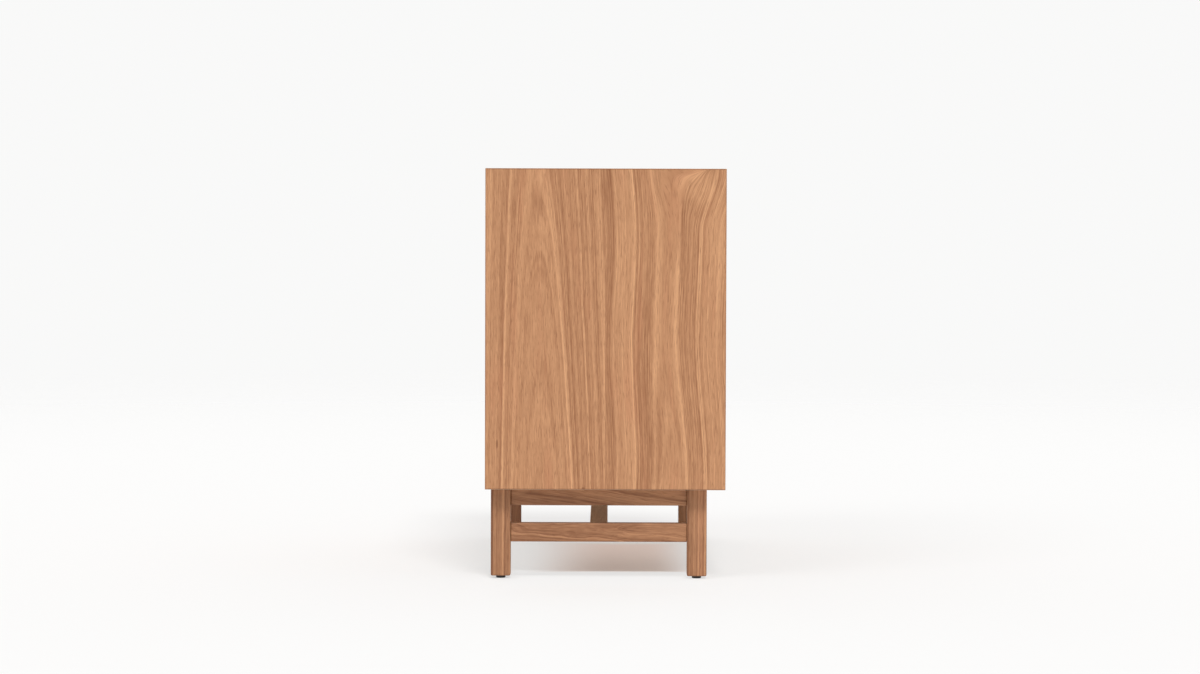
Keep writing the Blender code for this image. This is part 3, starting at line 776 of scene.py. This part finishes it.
boxLog = {"across": 70, "depth": 90, "leanAcross": 0.02, "leanDepth": 0.05, "sway": 9.0,
          "ringWidth": 6.5, "contrast": 0.95}
bottomLog = {"across": 20, "depth": 130, "leanAcross": 0.03, "leanDepth": 0.05, "sway": 14.0,
             "ringWidth": 7.0, "contrast": 0.85}
boxBoards = {
    "left": (yAxis, -xAxis), "right": (yAxis, xAxis), "front": (xAxis, yAxis), "back": (xAxis, -yAxis),
}
boxSeeds = {"first": 70.0, "drawerStep": 7.0, "boardStep": 1.6, "bottom": 95.0}
bottomLeaf = 300
drawers = ("bottom", "middle", "top")
for drawerIndex, drawer in enumerate(drawers):
    for boardIndex, (board, (along, into)) in enumerate(boxBoards.items()):
        boardSeed = boxSeeds["first"] + drawerIndex * boxSeeds["drawerStep"]
        boardSeed += boardIndex * boxSeeds["boardStep"]
        makeBoard(f"drawer_{drawer}_box_{board}", maple, along, into, boxLog, boardSeed, rubbed=0.10)
    makeBoard(f"drawer_{drawer}_box_bottom", birchPly, xAxis, -zAxis, bottomLog,
              boxSeeds["bottom"] + drawerIndex, bottomLeaf)
print("drawer boxes in maple")


# Slides: zinc-plated steel, drawn along its length

zincSteel = {
    "bright": (0.640, 0.650, 0.660, 1),
    "dull": (0.470, 0.475, 0.480, 1),
    "toneRange": (0.25, 0.85),
    "roughness": 0.30,
    "lineRoughness": 0.22,
    "drawn": (1.6, 0.02),  # per mm across and along the slide
    "spangleScale": 0.12,
    "cloudScale": 0.03,
    "shares": {"lines": 0.70, "spangle": 0.10, "clouds": 0.30},
    "bump": (0.10, 0.0002),
}


def makeZinc():
    takes = [("point", vector3, None)]
    gives = [("tone", number), ("scratch", number)]
    tree, given, out = startGroup("zincPlate", takes, gives)
    spangle = addNode(tree, "ShaderNodeTexVoronoi", feature="SMOOTH_F1")
    fill(tree, spangle, {"Vector": given["point"], "Scale": zincSteel["spangleScale"]})
    across, along = zincSteel["drawn"]
    drawn = [times(tree, place, scale)
             for place, scale in zip(pickAxes(tree, given["point"]), (across, along, across))]
    lines = noise(tree, joinAxes(tree, *drawn), 1.0, 3.0, 0.6)
    clouds = noise(tree, given["point"], zincSteel["cloudScale"], 2.0)
    shares = zincSteel["shares"]
    tone = times(tree, lines, shares["lines"])
    tone = timesAdd(tree, pickAxes(tree, spangle.outputs["Color"])[0], shares["spangle"], tone)
    feed(tree, out["tone"], timesAdd(tree, clouds, shares["clouds"], tone))
    feed(tree, out["scratch"], lines)
    return tree


zincPlate = makeZinc()


def makeSteel():
    material, tree, mapping = startFinish("zincSteel")
    shader = tree.nodes["Principled BSDF"]
    plate = useGroup(tree, zincPlate, point=mapping.outputs[0])
    tone = smooth(tree, plate["tone"], *zincSteel["toneRange"])
    feed(tree, shader.inputs["Base Color"], blend(tree, tone, zincSteel["dull"], zincSteel["bright"]))
    shader.inputs["Metallic"].default_value = 1.0
    rough = timesAdd(tree, plate["scratch"], zincSteel["lineRoughness"], zincSteel["roughness"])
    feed(tree, shader.inputs["Roughness"], rough)
    addBump(tree, shader, plate["scratch"], *zincSteel["bump"])
    return material


steel = makeSteel()
for nodeName in nodes:
    if "_slide_" in nodeName:
        dress(nodeName, steel)
print("slides plated")


# Glides: black moulded plastic with a fine grain, scuffed grey near the floor

blackPlastic = {
    "clean": (0.012, 0.011, 0.011, 1),
    "scuffed": (0.070, 0.066, 0.062, 1),
    "roughness": 0.42,
    "scuffHeight": 1.6,
    "scuffScale": 0.7,
    "scuffRange": (0.4, 0.65),
    "scuffRoughness": 0.25,
    "grainScale": 2.4,
    "grainRoughness": 0.12,
    "bump": (0.15, 0.0002),
}


def makePlastic():
    takes = [("point", vector3, None), ("scuffHeight", number, blackPlastic["scuffHeight"])]
    gives = [("scuff", number), ("grain", number)]
    tree, given, out = startGroup("mouldedPlastic", takes, gives)
    low = fadeOut(tree, pickAxes(tree, given["point"])[2], 0.0, given["scuffHeight"])
    rubs = noise(tree, given["point"], blackPlastic["scuffScale"])
    rubs = smooth(tree, rubs, *blackPlastic["scuffRange"])
    feed(tree, out["scuff"], times(tree, low, rubs))
    feed(tree, out["grain"], noise(tree, given["point"], blackPlastic["grainScale"], 2.0))
    return tree


mouldedPlastic = makePlastic()


def makeGlideMaterial():
    material, tree, mapping = startFinish("blackPlastic")
    shader = tree.nodes["Principled BSDF"]
    skin = useGroup(tree, mouldedPlastic, point=mapping.outputs[0], scuffHeight=blackPlastic["scuffHeight"])
    colour = blend(tree, skin["scuff"], blackPlastic["clean"], blackPlastic["scuffed"])
    feed(tree, shader.inputs["Base Color"], colour)
    rough = timesAdd(tree, skin["scuff"], blackPlastic["scuffRoughness"], blackPlastic["roughness"])
    rough = timesAdd(tree, skin["grain"], blackPlastic["grainRoughness"], rough)
    feed(tree, shader.inputs["Roughness"], rough)
    addBump(tree, shader, skin["grain"], *blackPlastic["bump"])
    return material


plastic = makeGlideMaterial()
for nodeName in nodes:
    if nodeName.startswith("glide_"):
        dress(nodeName, plastic)
print("glides moulded")


# Screws: domed heads with a cross recess, on the back, base rails, drawers and slides

def addMesh(name, points, faces, material):
    mesh = bpy.data.meshes.new(name)
    mesh.from_pydata(points.reshape(-1, 3), [], faces)
    mesh.materials.append(material)
    mesh.update()
    obj = bpy.data.objects.new(name, mesh)
    bpy.context.scene.collection.objects.link(obj)
    return obj


screwHead = {
    "spokes": 32,
    "radius": 0.0036,
    "height": 0.0016,
    "rim": 0.35,
    "sunk": 0.0001,
    "crossLength": 0.58,
    "crossWidth": 0.17,
    "recessDepth": 0.8,
    "recessRows": (0.5, 0.86, 1.0),
    "domeRows": (0.34, 1.0, 3),
    "seatReach": 0.6,
    "turnStep": 2.4,
    "sharpAngle": 38,
}


def headProfile():
    # rows of a head from the middle of its recess to the middle of its seat, as reach and lift by spoke;
    # the cross is max(min(L / |cos|, w / |sin|), min(L / |sin|, w / |cos|)), the dome falls with reach^2
    radius, height = screwHead["radius"], screwHead["height"]
    spoke = np.linspace(0, 2 * np.pi, screwHead["spokes"], endpoint=False)
    cosine, sine = np.abs(np.cos(spoke)) + 1e-9, np.abs(np.sin(spoke)) + 1e-9
    length, width = screwHead["crossLength"], screwHead["crossWidth"]
    cross = np.maximum(np.minimum(length / cosine, width / sine), np.minimum(length / sine, width / cosine))
    recess = np.array(screwHead["recessRows"])[:, None] * cross
    outward = np.linspace(*screwHead["domeRows"])[:, None]
    seat = np.array((1.0, screwHead["seatReach"]))[:, None] * np.ones_like(cross)
    share = np.concatenate((recess, cross + (1 - cross) * outward, seat))
    lift = height * (screwHead["rim"] + (1 - screwHead["rim"]) * (1 - share ** 2))
    floor = height * (1 - screwHead["recessDepth"])
    lift[:2] = floor
    lift[-2:] = -screwHead["sunk"]
    return spoke, share * radius, lift, floor


def headFaces(rows, spokes, heads):
    # quads round each row, and a fan at each pole; the poles come after the rows of their head
    row, spoke = np.meshgrid(np.arange(rows - 1), np.arange(spokes), indexing="ij")
    following = (spoke + 1) % spokes
    quads = np.stack((row * spokes + spoke, (row + 1) * spokes + spoke,
                      (row + 1) * spokes + following, row * spokes + following), axis=-1).reshape(-1, 4)
    ring = np.arange(spokes)
    onward = (ring + 1) % spokes
    last = (rows - 1) * spokes
    top = np.stack((np.full(spokes, rows * spokes), ring, onward), axis=-1)
    seat = np.stack((np.full(spokes, rows * spokes + 1), last + onward, last + ring), axis=-1)
    start = np.arange(heads)[:, None, None] * (rows * spokes + 2)
    fans = (np.concatenate((top, seat)) + start).reshape(-1, 3)
    return (quads + start).reshape(-1, 4).tolist() + fans.tolist()


def makeScrews(name, body, rows):
    # rows: pairs of outward direction and places of the seats
    spoke, reach, lift, floor = headProfile()
    clouds = []
    for out, places in rows:
        out, places = np.array(out, float), np.array(places, float)
        first = np.roll(out, -1)
        second = np.cross(out, first)
        turn = spoke + np.arange(len(places))[:, None] * screwHead["turnStep"]
        ray = np.cos(turn)[..., None] * first + np.sin(turn)[..., None] * second
        skin = places[:, None, None] + reach[None, ..., None] * ray[:, None] + lift[None, ..., None] * out
        poles = places[:, None] + np.array([floor, -screwHead["sunk"]])[None, :, None] * out
        clouds.append(np.concatenate((skin.reshape(len(places), -1, 3), poles), axis=1))
    points = np.concatenate(clouds)
    screws = addMesh(name, points, headFaces(len(reach), len(spoke), len(points)), steel)
    screws.data.shade_smooth()
    screws.data.set_sharp_from_angle(angle=math.radians(screwHead["sharpAngle"]))
    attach(screws, body)


screwPlaces = {
    "backInset": 0.005,
    "backRows": 5,
    "backColumns": 5,
    "railAcross": (-0.30, -0.10, 0.10, 0.30),
    "frontAcross": (-0.26, 0.26),
    "frontUp": (0.3, 0.7),
    "slideInset": 0.037,
    "slideCount": 4,
    "slideSheet": 0.0012,
}


def backPlaces():
    # round the edge of the back panel, where it lies in its rabbet
    low, high = nodeBox("case_back")
    inset = screwPlaces["backInset"]
    across = np.linspace(low.x + inset, high.x - inset, screwPlaces["backColumns"])
    up = np.linspace(low.z + inset, high.z - inset, screwPlaces["backRows"])
    x, z = np.meshgrid(across, up, indexing="ij")
    rim = (x == across[0]) | (x == across[-1]) | (z == up[0]) | (z == up[-1])
    return np.stack((x[rim], np.full(rim.sum(), high.y), z[rim]), axis=-1)


def railPlaces(name):
    low, high = nodeBox(name)
    return [(x, (low.y + high.y) / 2, low.z) for x in screwPlaces["railAcross"]]


def frontPlaces(name):
    # inside the box front, where screws hold the drawer front
    low, high = nodeBox(name)
    return [(x, high.y, low.z + share * (high.z - low.z))
            for x in screwPlaces["frontAcross"] for share in screwPlaces["frontUp"]]


def slidePlaces(name, side):
    # over the screw holes in the web of the drawer member, which lies against the box
    low, high = nodeBox(name)
    web = high.x - screwPlaces["slideSheet"] if side < 0 else low.x + screwPlaces["slideSheet"]
    inset = screwPlaces["slideInset"]
    along = np.linspace(low.y + inset, high.y - inset, screwPlaces["slideCount"])
    return [(web, y, (low.z + high.z) / 2) for y in along]


makeScrews("caseScrews", "case", [((0, 1, 0), backPlaces()), ((0, 0, -1), railPlaces("base_rail_front")),
                                  ((0, 0, -1), railPlaces("base_rail_back"))])
for drawer in drawers:
    makeScrews(drawer + "DrawerScrews", "drawer_" + drawer, [
        ((0, 1, 0), frontPlaces(f"drawer_{drawer}_box_front")),
        ((-1, 0, 0), slidePlaces(f"drawer_{drawer}_slide_left_drawer", -1)),
        ((1, 0, 0), slidePlaces(f"drawer_{drawer}_slide_right_drawer", 1)),
    ])
print("screws driven")


# Floor, light and camera

def gridFaces(rows, columns):
    # quads between neighbouring points of a grid
    row, column = np.meshgrid(np.arange(rows - 1), np.arange(columns - 1), indexing="ij")
    corner = row * columns + column
    quads = np.stack((corner, corner + 1, corner + columns + 1, corner + columns), axis=-1)
    return quads.reshape(-1, 4).tolist()


stage = {
    "floorReach": 9.0,
    "floorPoints": 25,
    "floorFade": (3.0, 8.5),
    "floorColour": (0.880, 0.874, 0.866, 1),
    "backdrop": (0.947, 0.947, 0.943, 1),
    # share of white where the floor is seen: under the near and the far end, around, and in front; the lower
    # shares under the piece are painted shade, the higher share in front is painted light
    "floorLift": {"near": 0.24, "far": 0.46, "around": 0.54, "front": 0.73},
    # zone under the piece, where less lift paints shade
    "underneath": {"x": (-0.28, 0.25), "fadeX": (0.04, 0.07), "y": (-0.09, -0.02), "fadeY": (0.11, 0.20)},
    # zone in front of the piece, where more lift paints light over the front of its shadow
    "paintedLightInFront": {"x": (-0.50, -0.30), "fadeX": (0.20, 0.03), "y": (-0.17, 0.17), "fadeY": (0.05, 0.05)},
    # warm tint of the lift under the piece: painted light bounced off the wood
    "paintedWoodBounce": (0.990, 0.780, 0.690, 1),
    "worldLight": 0.66,
    "backGlow": 0.90,
    "backGlowRange": (0.1, 0.9),
    "lampDistance": 4.0,
}
softboxes = {
    "keyLight": {"strength": 1.46, "spread": 17.0, "height": 53.0, "turn": 11.0},
    "fillLight": {"strength": 0.55, "spread": 28.0, "height": 42.0, "turn": -44.0},
}


def outsideZone(tree, where, zone):
    # 0 in a zone of the floor, 1 past its soft border
    outside = 0.0
    x, y, z = pickAxes(tree, where)
    for place, edges, fades in ((x, zone["x"], zone["fadeX"]), (y, zone["y"], zone["fadeY"])):
        outside = larger(tree, outside, smooth(tree, place, edges[0], edges[0] - fades[0]))
        outside = larger(tree, outside, smooth(tree, place, edges[1], edges[1] + fades[1]))
    return outside


def seenRays(tree):
    # 1 for rays that show the background: straight from the camera, mirrored, or through glass
    path = addNode(tree, "ShaderNodeLightPath")
    seen = larger(tree, path.outputs["Is Camera Ray"], path.outputs["Is Glossy Ray"])
    return larger(tree, seen, path.outputs["Is Transmission Ray"])


def makeFloor():
    # matt floor that fades out with distance; where it is seen it is lifted towards white, more so in front
    # of the piece, which is painted light over the front of its shadow, and less under it, which is painted
    # shade, with a warm tint there that is painted light bounced off the wood
    material = bpy.data.materials.new("studioFloor")
    material.use_nodes = True
    tree = material.node_tree
    tree.nodes.clear()
    where = addNode(tree, "ShaderNodeTexCoord").outputs["Object"]
    matt = fill(tree, addNode(tree, "ShaderNodeBsdfDiffuse"), {"Color": stage["floorColour"]})
    outside = outsideZone(tree, where, stage["underneath"])
    # warm tint under the piece: painted light bounced off the wood
    glow = blend(tree, outside, stage["paintedWoodBounce"], stage["backdrop"])
    white = fill(tree, addNode(tree, "ShaderNodeEmission"), {"Color": glow})
    amount = stage["floorLift"]
    # less lift near the front of the piece than towards the back: painted shade
    inward = smooth(tree, pickAxes(tree, where)[0], *stage["underneath"]["x"])
    under = blend(tree, inward, amount["near"], amount["far"], "FLOAT")
    beside = outsideZone(tree, where, stage["paintedLightInFront"])
    around = blend(tree, beside, amount["front"], amount["around"], "FLOAT")
    lift = times(tree, seenRays(tree), blend(tree, outside, under, around, "FLOAT"))
    lifted = mixShaders(tree, lift, matt.outputs[0], white.outputs[0])
    # open from below, so that the underside of the piece can be looked at
    facing = addNode(tree, "ShaderNodeNewGeometry")
    far = smooth(tree, vectorCalc(tree, "LENGTH", where, output="Value"), *stage["floorFade"])
    clear = addNode(tree, "ShaderNodeBsdfTransparent")
    surface = mixShaders(tree, larger(tree, far, facing.outputs["Backfacing"]), lifted, clear.outputs[0])
    fill(tree, addNode(tree, "ShaderNodeOutputMaterial"), {"Surface": surface})
    count = stage["floorPoints"]
    side = np.linspace(-stage["floorReach"], stage["floorReach"], count)
    y, x = np.meshgrid(side, side, indexing="ij")
    addMesh("studioFloor", np.stack((x, y, 0 * x), axis=-1), gridFaces(count, count), material)


def makeWorld():
    world = bpy.data.worlds.new("studioWorld")
    bpy.context.scene.world = world
    world.use_nodes = True
    tree = world.node_tree
    tree.nodes.clear()
    # the lit backdrop behind the piece is a little brighter than the rest of the room
    where = addNode(tree, "ShaderNodeTexCoord").outputs["Generated"]
    behind = smooth(tree, pickAxes(tree, where)[0], *stage["backGlowRange"])
    strength = timesAdd(tree, behind, stage["backGlow"], stage["worldLight"])
    light = fill(tree, addNode(tree, "ShaderNodeBackground"), {"Strength": strength})
    backdrop = fill(tree, addNode(tree, "ShaderNodeBackground"), {"Color": stage["backdrop"]})
    surface = mixShaders(tree, seenRays(tree), light.outputs[0], backdrop.outputs[0])
    fill(tree, addNode(tree, "ShaderNodeOutputWorld"), {"Surface": surface})


def makeSoftbox(name, box):
    # a wide softbox far off on the camera's side; turn is in degrees to the camera's right
    light = bpy.data.lights.new(name, "SUN")
    light.energy = box["strength"]
    light.angle = math.radians(box["spread"])
    lamp = bpy.data.objects.new(name, light)
    height, turn = math.radians(box["height"]), math.radians(box["turn"])
    ray = Vector((math.cos(height) * math.cos(turn), math.cos(height) * math.sin(turn), -math.sin(height)))
    lamp.rotation_euler = ray.to_track_quat("-Z", "Y").to_euler()
    lamp.location = -stage["lampDistance"] * ray
    bpy.context.scene.collection.objects.link(lamp)


# Camera: places in pixels of the 1200 by 674 frame, distances in metres

shot = {
    "imageWidth": 1200,
    "imageHeight": 674,
    "panelWidth": 241.2,
    "panelMiddle": 605.6,
    "floorLine": 579.65,
    "horizon": (607.9, 208.4),
    "farRatio": 1.128,
    "roll": 0.17,
    "sensorWidth": 36.0,
}


def makeCamera():
    # the far legs stand farRatio times as far off as the near ones, which gives the distance
    legs = [nodeBox("leg_front_left")[0].x, nodeBox("leg_front_right")[1].x]
    toLegs = (legs[1] - legs[0]) / (shot["farRatio"] - 1)
    low, high = nodeBox("case_side_left")
    toPanel = toLegs - (legs[0] - low.x)
    lensPixels = shot["panelWidth"] / (high.y - low.y) * toPanel
    across, down = shot["horizon"]
    data = bpy.data.cameras.new("studioCamera")
    data.sensor_width = shot["sensorWidth"]
    data.lens = data.sensor_width * lensPixels / shot["imageWidth"]
    camera = bpy.data.objects.new("studioCamera", data)
    sideways = (shot["panelMiddle"] - across) / lensPixels * toPanel
    height = (shot["floorLine"] - down) / lensPixels * toLegs
    camera.location = (low.x - toPanel, (low.y + high.y) / 2 + sideways, height)
    aim = Vector((lensPixels, across - shot["imageWidth"] / 2, down - shot["imageHeight"] / 2))
    turn = aim.to_track_quat("-Z", "Y").to_matrix() @ Matrix.Rotation(math.radians(shot["roll"]), 3, "Z")
    camera.rotation_euler = turn.to_euler()
    bpy.context.scene.collection.objects.link(camera)
    bpy.context.scene.camera = camera
    print("camera at", tuple(round(v, 3) for v in camera.location), "lens", round(data.lens, 1))


makeFloor()
makeWorld()
for boxName, softbox in softboxes.items():
    makeSoftbox(boxName, softbox)
makeCamera()
bpy.context.scene.view_settings.view_transform = "Standard"
print("stage, light and camera ready")
